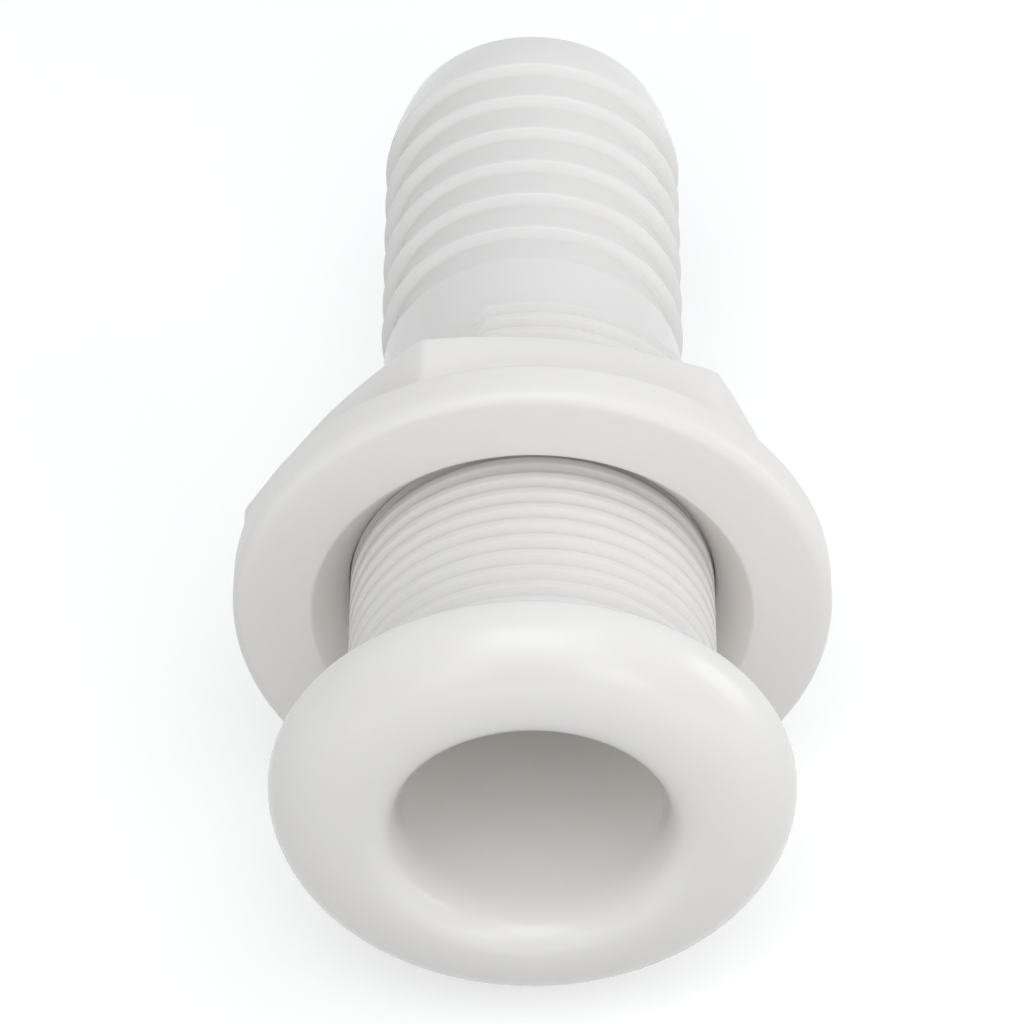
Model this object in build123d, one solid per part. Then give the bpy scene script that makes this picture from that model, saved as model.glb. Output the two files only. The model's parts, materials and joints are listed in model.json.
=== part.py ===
from build123d import *
import os
from math import cos, radians, tan

os.makedirs("parts", exist_ok=True)

# Plastic thru hull fitting for a boat, in millimetres, +Z up: a one-piece body (mushroom head,
# threaded shank, collar and barbed hose tail) and the flange nut that clamps it to the hull.
# The fitting lies with its axis along Y. The head is outboard, towards -Y, and the hose tail is
# inboard, towards +Y. The origin is the centre of the head's flat underside, which seats on the
# hull. Each piece is drawn standing on Z, with the seat at height 0, and then laid over.

# ---- bore and head
BORE_R = 12.1
HEAD_R = 24.45
HEAD_THICKNESS = 6.95
HEAD_EDGE_R = 0.5  # rounding between the dome and the flat underside
DOME_CREST_R = 15.8  # radius of the circle where the dome stands furthest outboard
MOUTH_DEPTH = 4.4  # depth of the bell mouth that leads from the dome into the bore

# ---- threaded shank and collar
THREAD_R = 17.46
THREAD_PITCH = 2.05
THREAD_DEPTH = 1.0
THREAD_FLANK = 30.0  # degrees between a flank and the plane across the axis
GROOVE_FLOOR = 0.24  # width of the flat floor of the thread groove
GROOVE_SPILL = 0.25  # how far the groove's cutter stands clear of the crests
THREAD_START = 2.5  # first groove centre above the seat
THREAD_END = 48.1
RUN_OUT_TURNS = 0.75  # the cutter leaves the shank this many turns past the shoulder
FLAT_ACROSS = 29.7  # distance across the two wrench flats at the thread's inboard end
FLAT_LENGTH = 10.0
FLAT_AZIMUTH = -140.0  # direction in which the first flat faces, in degrees about Z
COLLAR_R = 14.85
COLLAR_END = 57.3

# ---- hose tail
BARB_R = 15.2
BARB_COUNT = 6
BARB_PITCH = 5.09
FIRST_BARB = 61.7  # height of the crest nearest the collar
BARB_DEPTH = 1.2
BARB_SHOULDER = 0.4  # length of the steep shoulder that stops the hose slipping off
RAMP_SAG = 0.2  # how far the middle of a barb's ramp hangs below its chord
TAIL_END = 93.7
TAIL_END_R = 13.6
NOSE_BULGE = 0.2  # how far the tapered nose stands proud of a plain cone
END_ROUND = 0.35

# ---- flange nut
NUT_SEAT = 22.3  # height of the flange's clamping face
NUT_HEIGHT = 12.7
FLANGE_R = 28.6
FLANGE_THICKNESS = 4.5
FLANGE_ROUND = 1.3
FLANGE_BACK_ROUND = 0.6
HEX_CORNER_R = 28.1  # radius across the sharp corners of the hexagon
HEX_CORNER_ROUND = 1.0
HEX_AZIMUTH = 8.25  # direction of one corner, in degrees about Z
HEX_CHAMFER_ANGLE = 30.0
NUT_MOUTH_R = 21.1  # radius of the coned mouth where it opens in the clamping face
NUT_MOUTH_LENGTH = 4.5  # depth at which the cone meets the thread's crests
NUT_CLEARANCE = 0.08  # radial gap between the crests of the nut and of the shank
NUT_BACK_CHAMFER = 0.8
NUT_THREAD_LEAD = 11.5  # turns from the shank's first groove to the nut's, crest against groove
NUT_THREAD_END = 33.0  # the nut's groove stops here, short of its back face

LAY_OVER = Rot(-90, 0, 0)  # stands on Z -> lies along +Y


def half_section(edges):
    """Face enclosed by edges drawn in the XZ plane, radius along X and height along Z."""
    return make_face(Plane.XZ * Curve(edges))


def barb_ramp_points(start, end):
    """Start, middle and foot of the hollow ramp from one crest down to the next shoulder."""
    foot = (BARB_R - BARB_DEPTH, end[1] - BARB_SHOULDER)
    middle = ((start[0] + foot[0]) / 2 - RAMP_SAG, (start[1] + foot[1]) / 2)
    return start, middle, foot


def body_outline():
    """Half section of the body without its thread."""
    mouth_foot = MOUTH_DEPTH - HEAD_THICKNESS
    dome_height = HEAD_THICKNESS - HEAD_EDGE_R
    edges = [
        EllipticalCenterArc(
            (DOME_CREST_R, mouth_foot), DOME_CREST_R - BORE_R, MOUTH_DEPTH, 180, arc_size=90
        ),
        EllipticalCenterArc(
            (DOME_CREST_R, -HEAD_EDGE_R), HEAD_R - DOME_CREST_R, dome_height, 270, arc_size=90
        ),
        CenterArc((HEAD_R - HEAD_EDGE_R, -HEAD_EDGE_R), HEAD_EDGE_R, 0, 90),
    ]
    edges += Polyline(
        (HEAD_R - HEAD_EDGE_R, 0),
        (THREAD_R, 0),
        (THREAD_R, THREAD_END),
        (COLLAR_R, THREAD_END),
        (COLLAR_R, COLLAR_END),
    ).edges()
    crest = (COLLAR_R, COLLAR_END)
    for i in range(BARB_COUNT):
        next_crest = (BARB_R, FIRST_BARB + i * BARB_PITCH)
        ramp = barb_ramp_points(crest, next_crest)
        edges += [ThreePointArc(*ramp), Line(ramp[2], next_crest)]
        crest = next_crest
    nose_end = (TAIL_END_R, TAIL_END - END_ROUND)
    nose_middle = ((crest[0] + nose_end[0]) / 2 + NOSE_BULGE, (crest[1] + nose_end[1]) / 2)
    edges += [
        ThreePointArc(crest, nose_middle, nose_end),
        CenterArc((TAIL_END_R - END_ROUND, TAIL_END - END_ROUND), END_ROUND, 0, 90),
    ]
    edges += Polyline(
        (TAIL_END_R - END_ROUND, TAIL_END),
        (BORE_R, TAIL_END),
        (BORE_R, mouth_foot),
    ).edges()
    return half_section(edges)


def thread_groove(crest_r, side, first, last):
    """Helical groove cut from crest_r, outwards for side +1 or inwards for side -1."""
    path = Helix(THREAD_PITCH, last - first, crest_r, center=(0, 0, first))
    slope = tan(radians(THREAD_FLANK))
    floor_half = GROOVE_FLOOR / 2
    mouth_half = floor_half + (THREAD_DEPTH + GROOVE_SPILL) * slope
    section = Polygon(
        (-side * GROOVE_SPILL, -mouth_half),
        (-side * GROOVE_SPILL, mouth_half),
        (side * THREAD_DEPTH, floor_half),
        (side * THREAD_DEPTH, -floor_half),
        align=None,
    )
    start = Plane(origin=path @ 0, x_dir=(1, 0, 0), z_dir=path % 0)
    return sweep(start * section, path=path, is_frenet=True)


def cut_thread(piece, crest_r, side, heights):
    """Cut the groove in lengths that meet end to end at the given heights."""
    for first, last in zip(heights, heights[1:]):
        piece -= thread_groove(crest_r, side, first, last)
    return piece


def wrench_flat(azimuth):
    """Block that cuts one wrench flat across the inboard end of the thread."""
    block = Box(THREAD_R, 2 * THREAD_R, FLAT_LENGTH, align=(Align.MIN, Align.CENTER, Align.MAX))
    return Rot(0, 0, azimuth) * Pos(FLAT_ACROSS / 2, 0, THREAD_END) * block


def hull_body():
    """Mushroom head, threaded shank, collar and barbed tail in one moulding."""
    body = revolve(body_outline(), axis=Axis.Z)
    whole_turns = int((THREAD_END - THREAD_START) / THREAD_PITCH) - 1
    last_turns = THREAD_START + whole_turns * THREAD_PITCH
    run_out = THREAD_END + RUN_OUT_TURNS * THREAD_PITCH
    body = cut_thread(body, THREAD_R, -1, (THREAD_START, last_turns, run_out))
    for azimuth in (FLAT_AZIMUTH, FLAT_AZIMUTH + 180):
        body -= wrench_flat(azimuth)
    return body


def nut_blank():
    """Round flange with the chamfered hexagon standing on it, solid through."""
    flange = Cylinder(FLANGE_R, FLANGE_THICKNESS, align=(Align.CENTER, Align.CENTER, Align.MIN))
    rims = flange.edges().filter_by(GeomType.CIRCLE).sort_by(Axis.Z)
    flange = fillet(rims[0], FLANGE_ROUND)
    rims = flange.edges().filter_by(GeomType.CIRCLE).sort_by(Axis.Z)
    flange = fillet(rims[-1], FLANGE_BACK_ROUND)
    hexagon = extrude(RegularPolygon(HEX_CORNER_R, 6, rotation=HEX_AZIMUTH), NUT_HEIGHT)
    hexagon = fillet(hexagon.edges().filter_by(Axis.Z), HEX_CORNER_ROUND)
    across_flats_r = HEX_CORNER_R * cos(radians(30))
    fall = (2 * HEX_CORNER_R - across_flats_r) * tan(radians(HEX_CHAMFER_ANGLE))
    corner_cone = Cone(
        2 * HEX_CORNER_R, across_flats_r, fall, align=(Align.CENTER, Align.CENTER, Align.MAX)
    )
    hexagon &= Pos(0, 0, NUT_HEIGHT) * corner_cone
    hexagon -= Cylinder(2 * HEX_CORNER_R, FLANGE_THICKNESS)  # starts inside the flange's thickness
    return flange + hexagon


def flange_nut():
    """One-piece flange nut, threaded through, with a coned mouth towards the hull."""
    crest_r = THREAD_R + NUT_CLEARANCE
    passage = half_section(
        Polyline(
            (0, 0),
            (NUT_MOUTH_R, 0),
            (crest_r, NUT_MOUTH_LENGTH),
            (crest_r, NUT_HEIGHT - NUT_BACK_CHAMFER),
            (crest_r + NUT_BACK_CHAMFER, NUT_HEIGHT),
            (0, NUT_HEIGHT),
            close=True,
        ).edges()
    )
    nut = nut_blank() - revolve(passage, axis=Axis.Z)
    nut = Pos(0, 0, NUT_SEAT) * nut
    thread_foot = THREAD_START + NUT_THREAD_LEAD * THREAD_PITCH
    return cut_thread(nut, crest_r, 1, (thread_foot, NUT_THREAD_END))


for name, piece in (("hull_body", hull_body()), ("flange_nut", flange_nut())):
    export_step(LAY_OVER * piece, f"parts/{name}.step")
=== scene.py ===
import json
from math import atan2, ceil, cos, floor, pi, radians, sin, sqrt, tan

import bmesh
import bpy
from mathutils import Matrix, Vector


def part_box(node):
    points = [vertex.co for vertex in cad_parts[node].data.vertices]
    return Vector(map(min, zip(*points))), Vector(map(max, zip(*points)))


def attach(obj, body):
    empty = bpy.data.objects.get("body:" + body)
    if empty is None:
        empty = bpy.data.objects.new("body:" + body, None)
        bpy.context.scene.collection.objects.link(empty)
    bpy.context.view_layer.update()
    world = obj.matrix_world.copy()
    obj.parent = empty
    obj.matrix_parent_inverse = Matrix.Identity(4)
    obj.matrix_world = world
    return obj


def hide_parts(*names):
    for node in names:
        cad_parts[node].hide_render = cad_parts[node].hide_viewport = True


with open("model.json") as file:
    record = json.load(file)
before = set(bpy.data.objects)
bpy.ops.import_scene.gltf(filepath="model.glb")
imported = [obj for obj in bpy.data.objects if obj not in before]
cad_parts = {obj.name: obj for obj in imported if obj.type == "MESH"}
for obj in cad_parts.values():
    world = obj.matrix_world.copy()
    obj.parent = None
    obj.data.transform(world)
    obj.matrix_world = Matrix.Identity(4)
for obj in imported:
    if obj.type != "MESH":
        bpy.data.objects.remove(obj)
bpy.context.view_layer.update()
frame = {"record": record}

# Plastic thru hull fitting lying along Y, head towards -Y and hose tail towards +Y. The two CAD
# nodes are replaced by finer meshes of the same pieces. Outlines are drawn in millimetres as
# (radius from the Y axis, place along Y) and swept round the axis, one column per azimuth.
# Azimuth 0 is +X, and azimuth 90 degrees is -Z, so that the thread winds right-handed.

MM = 0.001


def largest_radius(node):
    low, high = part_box(node)
    return (high.x - low.x) / 2 / MM


body_low, body_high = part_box("hull_body")
nut_low, nut_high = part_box("flange_nut")
mounts = {mount["name"]: mount for mount in frame["record"]["mounts"]}

# ---- body sizes
BORE_R = mounts["bore"]["dims"]["r_mm"]
HEAD_R = largest_radius("hull_body")
HEAD_FRONT = body_low.y / MM
HEAD_EDGE_R = 0.5
DOME_CREST_R = 15.8
MOUTH_DEPTH = 4.4
MOUTH_THROAT_R = 12.8
MOUTH_THROAT_LENGTH = 1.3
MOUTH_LIP_TURN = 200  # where the rounded lip gives way to a short cone into the bore
COLLAR_R = 14.85
COLLAR_START = 48.1
COLLAR_END = 57.3
THREAD_R = 17.46
THREAD_PITCH = 2.05
THREAD_DEPTH = 1.0
THREAD_PHASE = 2.5  # a groove's centre lies here on azimuth 0
THREAD_FADE = 1.6  # the groove deepens over this length from the seat
FLAT_HALF = COLLAR_R - 0.5  # the wrench flats lie a little below the collar
FLAT_LENGTH = 10.0
FLAT_AZIMUTH = -140.0
BARB_R = 15.2
BARB_COUNT = 6
BARB_PITCH = 5.09
FIRST_BARB = 61.7
BARB_DEPTH = 1.2
BARB_SHOULDER = 0.4
BARB_EDGE_R = 0.22
RAMP_SAG = 0.2
TAIL_END = body_high.y / MM
TAIL_END_R = 13.6
NOSE_BULGE = 0.2
END_ROUND = 0.35

# ---- nut sizes
FLANGE_R = largest_radius("flange_nut")
NUT_SEAT = nut_low.y / MM
NUT_BACK = nut_high.y / MM
FLANGE_THICKNESS = 4.5
FLANGE_ROUND = 1.3
FLANGE_BACK_ROUND = 0.6
HEX_CORNER_R = 28.1
HEX_CORNER_ROUND = 1.0
HEX_AZIMUTH = 8.25
HEX_CHAMFER_ANGLE = 30.0
HEX_FOOT_ROUND = 0.5
HEX_EDGE_ROUND = 0.25
NUT_MOUTH_R = 21.1
NUT_MOUTH_LENGTH = 4.5
NUT_MOUTH_EDGE_R = 0.25
NUT_CLEARANCE = 0.08
NUT_BACK_CHAMFER = 0.8

SHARP_ANGLE = radians(38)
BODY_COLUMNS = 240
TURN_ROWS = 14  # rows of mesh in one pitch of thread


# ---- outlines
def arc(center, radii, start, end, steps):
    """Points of an elliptical arc, with angles in degrees from the radius direction."""
    turns = [radians(start + (end - start) * i / steps) for i in range(steps + 1)]
    return [(center[0] + radii[0] * cos(a), center[1] + radii[1] * sin(a)) for a in turns]


def bowed(start, end, bow, steps):
    """Points from start to end along a shallow parabola that stands bow to larger radii."""
    points = []
    for i in range(steps + 1):
        share = i / steps
        radius = start[0] + (end[0] - start[0]) * share + 4 * bow * share * (1 - share)
        points.append((radius, start[1] + (end[1] - start[1]) * share))
    return points


def softened(before, corner, after, setback, steps=4):
    """Points that round off a corner, starting and ending setback away from it."""
    ends = []
    for neighbour in (before, after):
        step = Vector(neighbour) - Vector(corner)
        ends.append(Vector(corner) + step.normalized() * min(setback, step.length / 2))
    points = []
    for i in range(steps + 1):
        share = i / steps
        rest = 1 - share
        point = ends[0] * rest**2 + Vector(corner) * 2 * share * rest + ends[1] * share**2
        points.append(tuple(point))
    return points


def thread_depth(turns):
    """Depth of the groove as a share of the full depth, at a phase in turns from its centre."""
    away = abs(turns - floor(turns + 0.5))
    flank_foot, flank_top = 0.03, 0.32
    share = min(max((away - flank_foot) / (flank_top - flank_foot), 0), 1)
    return 1 - share * share * (3 - 2 * share)


def thread_places(azimuth, start, end):
    """Places along Y of one column's rows; the rows follow the helix between the ends."""
    lead = THREAD_PITCH * azimuth / (2 * pi)
    step = THREAD_PITCH / TURN_ROWS
    first = THREAD_PHASE + THREAD_PITCH * (floor((start - THREAD_PHASE) / THREAD_PITCH) - 1)
    count = ceil((end - first + THREAD_PITCH) / step)
    return [min(max(first + lead + k * step, start), end) for k in range(count + 1)]


def groove_depth(azimuth, place):
    """Depth of the shank's thread groove at this azimuth and place."""
    lead = THREAD_PITCH * azimuth / (2 * pi)
    return THREAD_DEPTH * thread_depth((place - THREAD_PHASE - lead) / THREAD_PITCH)


def nut_groove_depth(azimuth, place):
    """Depth of the nut's thread groove, half a turn out of step with the shank's."""
    lead = THREAD_PITCH * azimuth / (2 * pi)
    return THREAD_DEPTH * thread_depth((place - THREAD_PHASE - lead) / THREAD_PITCH + 0.5)


def flat_limit(azimuth):
    """Radius at which a wrench flat cuts this azimuth, or infinity between the flats."""
    turn = cos(azimuth - radians(FLAT_AZIMUTH))
    return FLAT_HALF / abs(turn) if abs(turn) > 0.5 else float("inf")


def body_outline(azimuth):
    """Closed outline of the body: bell mouth, dome, seat, thread, collar, barbs, nose and bore."""
    mouth_foot = HEAD_FRONT + MOUTH_DEPTH
    dome_height = -HEAD_EDGE_R - HEAD_FRONT
    lip_depth = MOUTH_DEPTH - MOUTH_THROAT_LENGTH
    lip_center = (DOME_CREST_R, HEAD_FRONT + lip_depth)
    points = [(BORE_R, mouth_foot)]
    points += arc(lip_center, (DOME_CREST_R - MOUTH_THROAT_R, lip_depth), MOUTH_LIP_TURN, 270, 18)
    points += arc((DOME_CREST_R, -HEAD_EDGE_R), (HEAD_R - DOME_CREST_R, dome_height), 270, 360, 30)[1:]
    edge_center = (HEAD_R - HEAD_EDGE_R, -HEAD_EDGE_R)
    points += arc(edge_center, (HEAD_EDGE_R, HEAD_EDGE_R), 0, 90, 5)[1:]
    points += shank_outline(azimuth)
    points += tail_outline()
    points += [(BORE_R, TAIL_END - END_ROUND)]
    points += [(BORE_R, (TAIL_END + COLLAR_END) / 2), (BORE_R, COLLAR_START / 2)]
    return points


def shank_outline(azimuth):
    """Thread crests and grooves from the seat to the shoulder, cut by the wrench flats."""
    flats_start = COLLAR_START - FLAT_LENGTH
    limit = flat_limit(azimuth)
    outline = []
    for place in thread_places(azimuth, 0, COLLAR_START):
        fade_in = min(place / THREAD_FADE, 1)
        radius = THREAD_R - groove_depth(azimuth, place) * fade_in
        if place > flats_start:
            radius = min(radius, limit)
        outline.append((radius, place))
    return outline


def tail_outline():
    """Collar, barbs and nose, from the shoulder to the rounded end of the tail."""
    corner = (COLLAR_R, COLLAR_END)
    outline = [(COLLAR_R, COLLAR_START), (COLLAR_R, COLLAR_START + 0.5), (COLLAR_R, COLLAR_END - 0.5)]
    for i in range(BARB_COUNT):
        crest = (BARB_R, FIRST_BARB + i * BARB_PITCH)
        foot = (BARB_R - BARB_DEPTH, crest[1] - BARB_SHOULDER)
        ramp = bowed(corner, foot, -RAMP_SAG, 8)
        outline += softened(outline[-1], corner, ramp[1], BARB_EDGE_R)
        outline += ramp[2:-1]
        outline += softened(ramp[-2], foot, crest, BARB_EDGE_R)
        corner = crest
    nose_end = (TAIL_END_R, TAIL_END - END_ROUND)
    nose = bowed(corner, nose_end, NOSE_BULGE, 8)
    outline += softened(outline[-1], corner, nose[1], BARB_EDGE_R)
    outline += nose[2:]
    end_center = (TAIL_END_R - END_ROUND, TAIL_END - END_ROUND)
    outline += arc(end_center, (END_ROUND, END_ROUND), 0, 90, 5)[1:]
    outline += arc((BORE_R + END_ROUND, TAIL_END - END_ROUND), (END_ROUND, END_ROUND), 90, 180, 5)
    return outline


def hexagon_radius(azimuth):
    """Distance from the axis to the hexagon's side, with its corners rounded."""
    sector = pi / 3
    turn = (azimuth - radians(HEX_AZIMUTH)) % sector
    from_corner = min(turn, sector - turn)
    apothem = HEX_CORNER_R * cos(sector / 2)
    center = (apothem - HEX_CORNER_ROUND) / cos(sector / 2)
    tangent = atan2(HEX_CORNER_ROUND * sin(sector / 2), center + HEX_CORNER_ROUND * cos(sector / 2))
    if from_corner >= tangent:
        return apothem / cos(sector / 2 - from_corner)
    return center * cos(from_corner) + sqrt(HEX_CORNER_ROUND**2 - (center * sin(from_corner)) ** 2)


def nut_outline(azimuth):
    """Closed outline of the nut: coned mouth, clamping face, rim, hexagon, back face and thread."""
    crest_r = THREAD_R + NUT_CLEARANCE
    flange_back = NUT_SEAT + FLANGE_THICKNESS
    side = hexagon_radius(azimuth)
    inner_r = HEX_CORNER_R * cos(pi / 6)
    chamfer_start = NUT_BACK - (side - inner_r) * tan(radians(HEX_CHAMFER_ANGLE))

    throat = (crest_r, NUT_SEAT + NUT_MOUTH_LENGTH)
    points = softened(throat, (NUT_MOUTH_R, NUT_SEAT), (FLANGE_R, NUT_SEAT), NUT_MOUTH_EDGE_R)
    rim_center = (FLANGE_R - FLANGE_ROUND, NUT_SEAT + FLANGE_ROUND)
    points += arc(rim_center, (FLANGE_ROUND, FLANGE_ROUND), 270, 360, 7)
    back_center = (FLANGE_R - FLANGE_BACK_ROUND, flange_back - FLANGE_BACK_ROUND)
    points += arc(back_center, (FLANGE_BACK_ROUND, FLANGE_BACK_ROUND), 0, 90, 5)
    foot_reach = min(HEX_FOOT_ROUND, (points[-1][0] - side) * 0.9)
    foot_center = (side + foot_reach, flange_back + foot_reach)
    points += arc(foot_center, (foot_reach, foot_reach), 270, 180, 4)
    chamfer_top = (inner_r, NUT_BACK)
    points += softened((side, flange_back + foot_reach), (side, chamfer_start), chamfer_top, HEX_EDGE_ROUND)
    points += softened((side, chamfer_start), chamfer_top, (crest_r, NUT_BACK), HEX_EDGE_ROUND)
    points += [(crest_r + NUT_BACK_CHAMFER, NUT_BACK)]
    points += nut_thread(azimuth, crest_r)
    return points


def nut_thread(azimuth, crest_r):
    """Internal thread from the back chamfer to the coned mouth, where its groove fades out."""
    end = NUT_BACK - NUT_BACK_CHAMFER
    start = NUT_SEAT + NUT_MOUTH_LENGTH / 2
    cone_slope = (NUT_MOUTH_R - crest_r) / NUT_MOUTH_LENGTH
    outline = []
    for place in reversed(thread_places(azimuth, start, end)):
        cone = NUT_MOUTH_R - cone_slope * (place - NUT_SEAT)
        mouth_fade = min(max((place - NUT_SEAT - NUT_MOUTH_LENGTH) / THREAD_PITCH, 0), 1)
        back_fade = min((end - place) / THREAD_FADE, 1)
        groove = nut_groove_depth(azimuth, place) * mouth_fade * back_fade
        outline.append((max(crest_r + groove, cone), place))
    return outline


# ---- meshes
def body_azimuths():
    return [2 * pi * i / BODY_COLUMNS for i in range(BODY_COLUMNS + 1)]


def nut_azimuths():
    """Azimuths over one turn, close together at the hexagon's rounded corners."""
    corner_half = 1.6
    azimuths = []
    for side in range(6):
        corner = HEX_AZIMUTH + 60 * side
        azimuths += [corner + corner_half * (i / 4 - 1) for i in range(9)]
        gap = 60 - 2 * corner_half
        azimuths += [corner + corner_half + gap * i / 22 for i in range(1, 22)]
    azimuths.append(azimuths[0] + 360)
    return [radians(a) for a in azimuths]


def swept_mesh(name, azimuths, outline):
    """Closed mesh whose columns are the outline at each azimuth; the last column meets the first."""
    vertices = []
    for azimuth in azimuths:
        for radius, place in outline(azimuth):
            across, up = radius * cos(azimuth), -radius * sin(azimuth)
            vertices.append((across * MM, place * MM, up * MM))
    count = len(vertices) // len(azimuths)
    faces = []
    for column in range(len(azimuths) - 1):
        for row in range(count):
            here = column * count + row
            ahead = column * count + (row + 1) % count
            faces.append((here, here + count, ahead + count, ahead))
    mesh = bpy.data.meshes.new(name)
    mesh.from_pydata(vertices, [], faces)
    piece = bpy.data.objects.new(name, mesh)
    bpy.context.scene.collection.objects.link(piece)
    weld(mesh)
    mesh.shade_smooth()
    mesh.set_sharp_from_angle(angle=SHARP_ANGLE)
    piece.modifiers.new("face normals", "WEIGHTED_NORMAL").keep_sharp = True
    return piece


def weld(mesh):
    """Join coincident points, drop the faces that this closes up, and turn normals outwards."""
    work = bmesh.new()
    work.from_mesh(mesh)
    bmesh.ops.remove_doubles(work, verts=work.verts, dist=0.002 * MM)
    bmesh.ops.dissolve_degenerate(work, edges=work.edges, dist=0.001 * MM)
    bmesh.ops.recalc_face_normals(work, faces=work.faces)
    work.to_mesh(mesh)
    work.free()


# ---- materials
def moulded_plastic(name, cool, warm, roughness):
    """White moulded plastic with faint clouding, a soft gloss and fine surface ripple."""
    material = bpy.data.materials.new(name)
    material.use_nodes = True
    nodes, links = material.node_tree.nodes, material.node_tree.links
    shader = nodes["Principled BSDF"]
    place = nodes.new("ShaderNodeTexCoord")

    def noise(scale, detail):
        node = nodes.new("ShaderNodeTexNoise")
        node.inputs["Scale"].default_value = scale
        node.inputs["Detail"].default_value = detail
        links.new(place.outputs["Object"], node.inputs["Vector"])
        return node.outputs["Fac"]

    colour = nodes.new("ShaderNodeMix")
    colour.data_type = "RGBA"
    colour.inputs[6].default_value = (*cool, 1)
    colour.inputs[7].default_value = (*warm, 1)
    links.new(noise(45, 3), colour.inputs[0])
    links.new(colour.outputs[2], shader.inputs["Base Color"])

    gloss = nodes.new("ShaderNodeMapRange")
    gloss.inputs["To Min"].default_value = roughness - 0.05
    gloss.inputs["To Max"].default_value = roughness + 0.07
    links.new(noise(260, 4), gloss.inputs["Value"])
    links.new(gloss.outputs["Result"], shader.inputs["Roughness"])

    ripple = nodes.new("ShaderNodeBump")
    ripple.inputs["Strength"].default_value = 0.12
    ripple.inputs["Distance"].default_value = 0.12 * MM
    links.new(noise(380, 3), ripple.inputs["Height"])
    grain = nodes.new("ShaderNodeBump")
    grain.inputs["Strength"].default_value = 0.08
    grain.inputs["Distance"].default_value = 0.02 * MM
    links.new(noise(3200, 2), grain.inputs["Height"])
    links.new(ripple.outputs["Normal"], grain.inputs["Normal"])
    links.new(grain.outputs["Normal"], shader.inputs["Normal"])
    shader.inputs["IOR"].default_value = 1.5
    shader.inputs["Subsurface Weight"].default_value = 0.6
    shader.inputs["Subsurface Radius"].default_value = (1, 0.95, 0.9)
    shader.inputs["Subsurface Scale"].default_value = 4 * MM
    return material


# ---- pieces
def place_piece(piece, node, material):
    piece.data.materials.append(material)
    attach(piece, node)
    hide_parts(node)


body_plastic = moulded_plastic("body_plastic", (0.9, 0.88, 0.865), (0.91, 0.88, 0.855), 0.19)
nut_plastic = moulded_plastic("nut_plastic", (0.905, 0.878, 0.86), (0.91, 0.875, 0.85), 0.34)
place_piece(swept_mesh("moulded_body", body_azimuths(), body_outline), "hull_body", body_plastic)
place_piece(swept_mesh("moulded_nut", nut_azimuths(), nut_outline), "flange_nut", nut_plastic)


# ---- studio
LIT_POINT = (0, 0.03, 0)
NEUTRAL = (1.0, 1.0, 1.0)
SKYLIGHT = (0.94, 0.98, 1.0)
SURROUND_STRENGTH = 0.46
BACK_WALL_STRENGTH = 0.4
FLOOR_GLOW = 0.25
FLOOR_HALF_WIDTH = 3.0
FLOOR_GAP = 0.2 * MM
CAMERA_PLACE = (-0.29, -354.7, 372.6)
CAMERA_ELEVATION = 43.58


def floor_material():
    material = bpy.data.materials.new("floor_paper")
    material.use_nodes = True
    nodes, links = material.node_tree.nodes, material.node_tree.links
    shader = nodes["Principled BSDF"]
    shader.inputs["Roughness"].default_value = 0.8
    tone = nodes.new("ShaderNodeTexNoise")
    tone.inputs["Scale"].default_value = 6
    shade = nodes.new("ShaderNodeMapRange")
    shade.inputs["To Min"].default_value = 0.93
    shade.inputs["To Max"].default_value = 0.95
    links.new(tone.outputs["Fac"], shade.inputs["Value"])
    links.new(shade.outputs["Result"], shader.inputs["Base Color"])
    shader.inputs["Emission Color"].default_value = (1.0, 1.0, 1.0, 1)
    shader.inputs["Emission Strength"].default_value = FLOOR_GLOW
    return material


def make_floor():
    half = FLOOR_HALF_WIDTH
    level = nut_low.z - FLOOR_GAP
    mesh = bpy.data.meshes.new("floor")
    corners = [(-half, -half, level), (half, -half, level), (half, half, level), (-half, half, level)]
    mesh.from_pydata(corners, [], [(0, 1, 2, 3)])
    mesh.materials.append(floor_material())
    paper = bpy.data.objects.new("floor", mesh)
    bpy.context.scene.collection.objects.link(paper)
    paper.visible_diffuse = False  # light from the surroundings reaches the fitting's underside


def softbox(name, place, size, power, tint):
    """Square area light at place, turned to face the fitting."""
    light = bpy.data.lights.new(name, "AREA")
    light.shape = "SQUARE"
    light.size = size
    light.energy = power
    light.color = tint
    lamp = bpy.data.objects.new(name, light)
    lamp.location = place
    lamp.rotation_euler = (Vector(LIT_POINT) - Vector(place)).to_track_quat("-Z", "Y").to_euler()
    bpy.context.scene.collection.objects.link(lamp)


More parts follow.
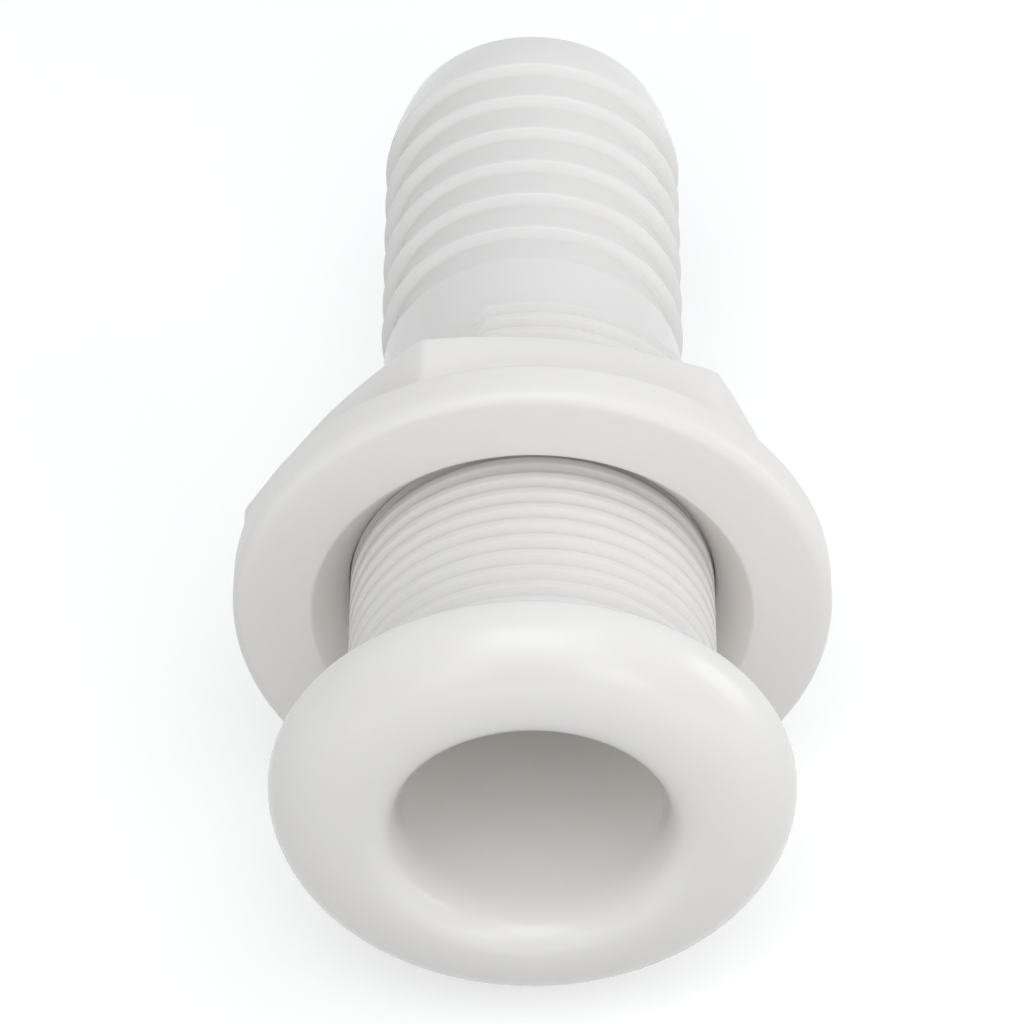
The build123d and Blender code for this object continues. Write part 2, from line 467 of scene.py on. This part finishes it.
def make_world():
    """White surroundings, brighter behind the hose tail, so that no side of the fitting goes black."""
    world = bpy.data.worlds.new("studio")
    world.use_nodes = True
    nodes, links = world.node_tree.nodes, world.node_tree.links
    backdrop = nodes["Background"]
    backdrop.inputs["Color"].default_value = (0.97, 0.99, 1.0, 1)
    direction = nodes.new("ShaderNodeTexCoord")
    facing = nodes.new("ShaderNodeVectorMath")
    facing.operation = "DOT_PRODUCT"
    facing.inputs[1].default_value = (0.3, 0.95, 0)
    links.new(direction.outputs["Generated"], facing.inputs[0])
    strength = nodes.new("ShaderNodeMapRange")
    strength.inputs["From Min"].default_value = 0.0
    strength.inputs["To Min"].default_value = SURROUND_STRENGTH
    strength.inputs["To Max"].default_value = SURROUND_STRENGTH + BACK_WALL_STRENGTH
    links.new(facing.outputs["Value"], strength.inputs["Value"])
    links.new(strength.outputs["Result"], backdrop.inputs["Strength"])
    bpy.context.scene.world = world


def make_lights():
    softbox("overhead_front", (0, -0.6, 0.8), 1.0, 3.2, SKYLIGHT)
    softbox("high_front", (-0.05, -0.5, 0.8), 0.5, 1.05, NEUTRAL)
    softbox("overhead", (0.27, -0.06, 0.86), 0.26, 0.12, SKYLIGHT)
    for side, across, power in (("left", -0.35, 0.35), ("right", 0.35, 0.55)):
        softbox("low_front_" + side, (across, -0.85, 0.25), 0.3, power, NEUTRAL)
    softbox("right", (0.8, 0, 0.2), 0.4, 1.0, NEUTRAL)


def make_camera():
    """Camera in front of the head, looking down along the fitting."""
    elevation = radians(CAMERA_ELEVATION)
    place = Vector(CAMERA_PLACE) * MM
    ahead = Vector((0, cos(elevation), -sin(elevation)))
    camera = bpy.data.cameras.new("camera")
    camera.lens = 195.5
    camera.sensor_width = 36
    camera.shift_x = -0.017
    camera.clip_start = 0.01
    view = bpy.data.objects.new("camera", camera)
    view.location = place
    view.rotation_euler = ahead.to_track_quat("-Z", "Y").to_euler()
    bpy.context.scene.collection.objects.link(view)
    bpy.context.scene.camera = view


make_floor()
make_world()
make_lights()
make_camera()
bpy.context.scene.view_settings.view_transform = "Standard"
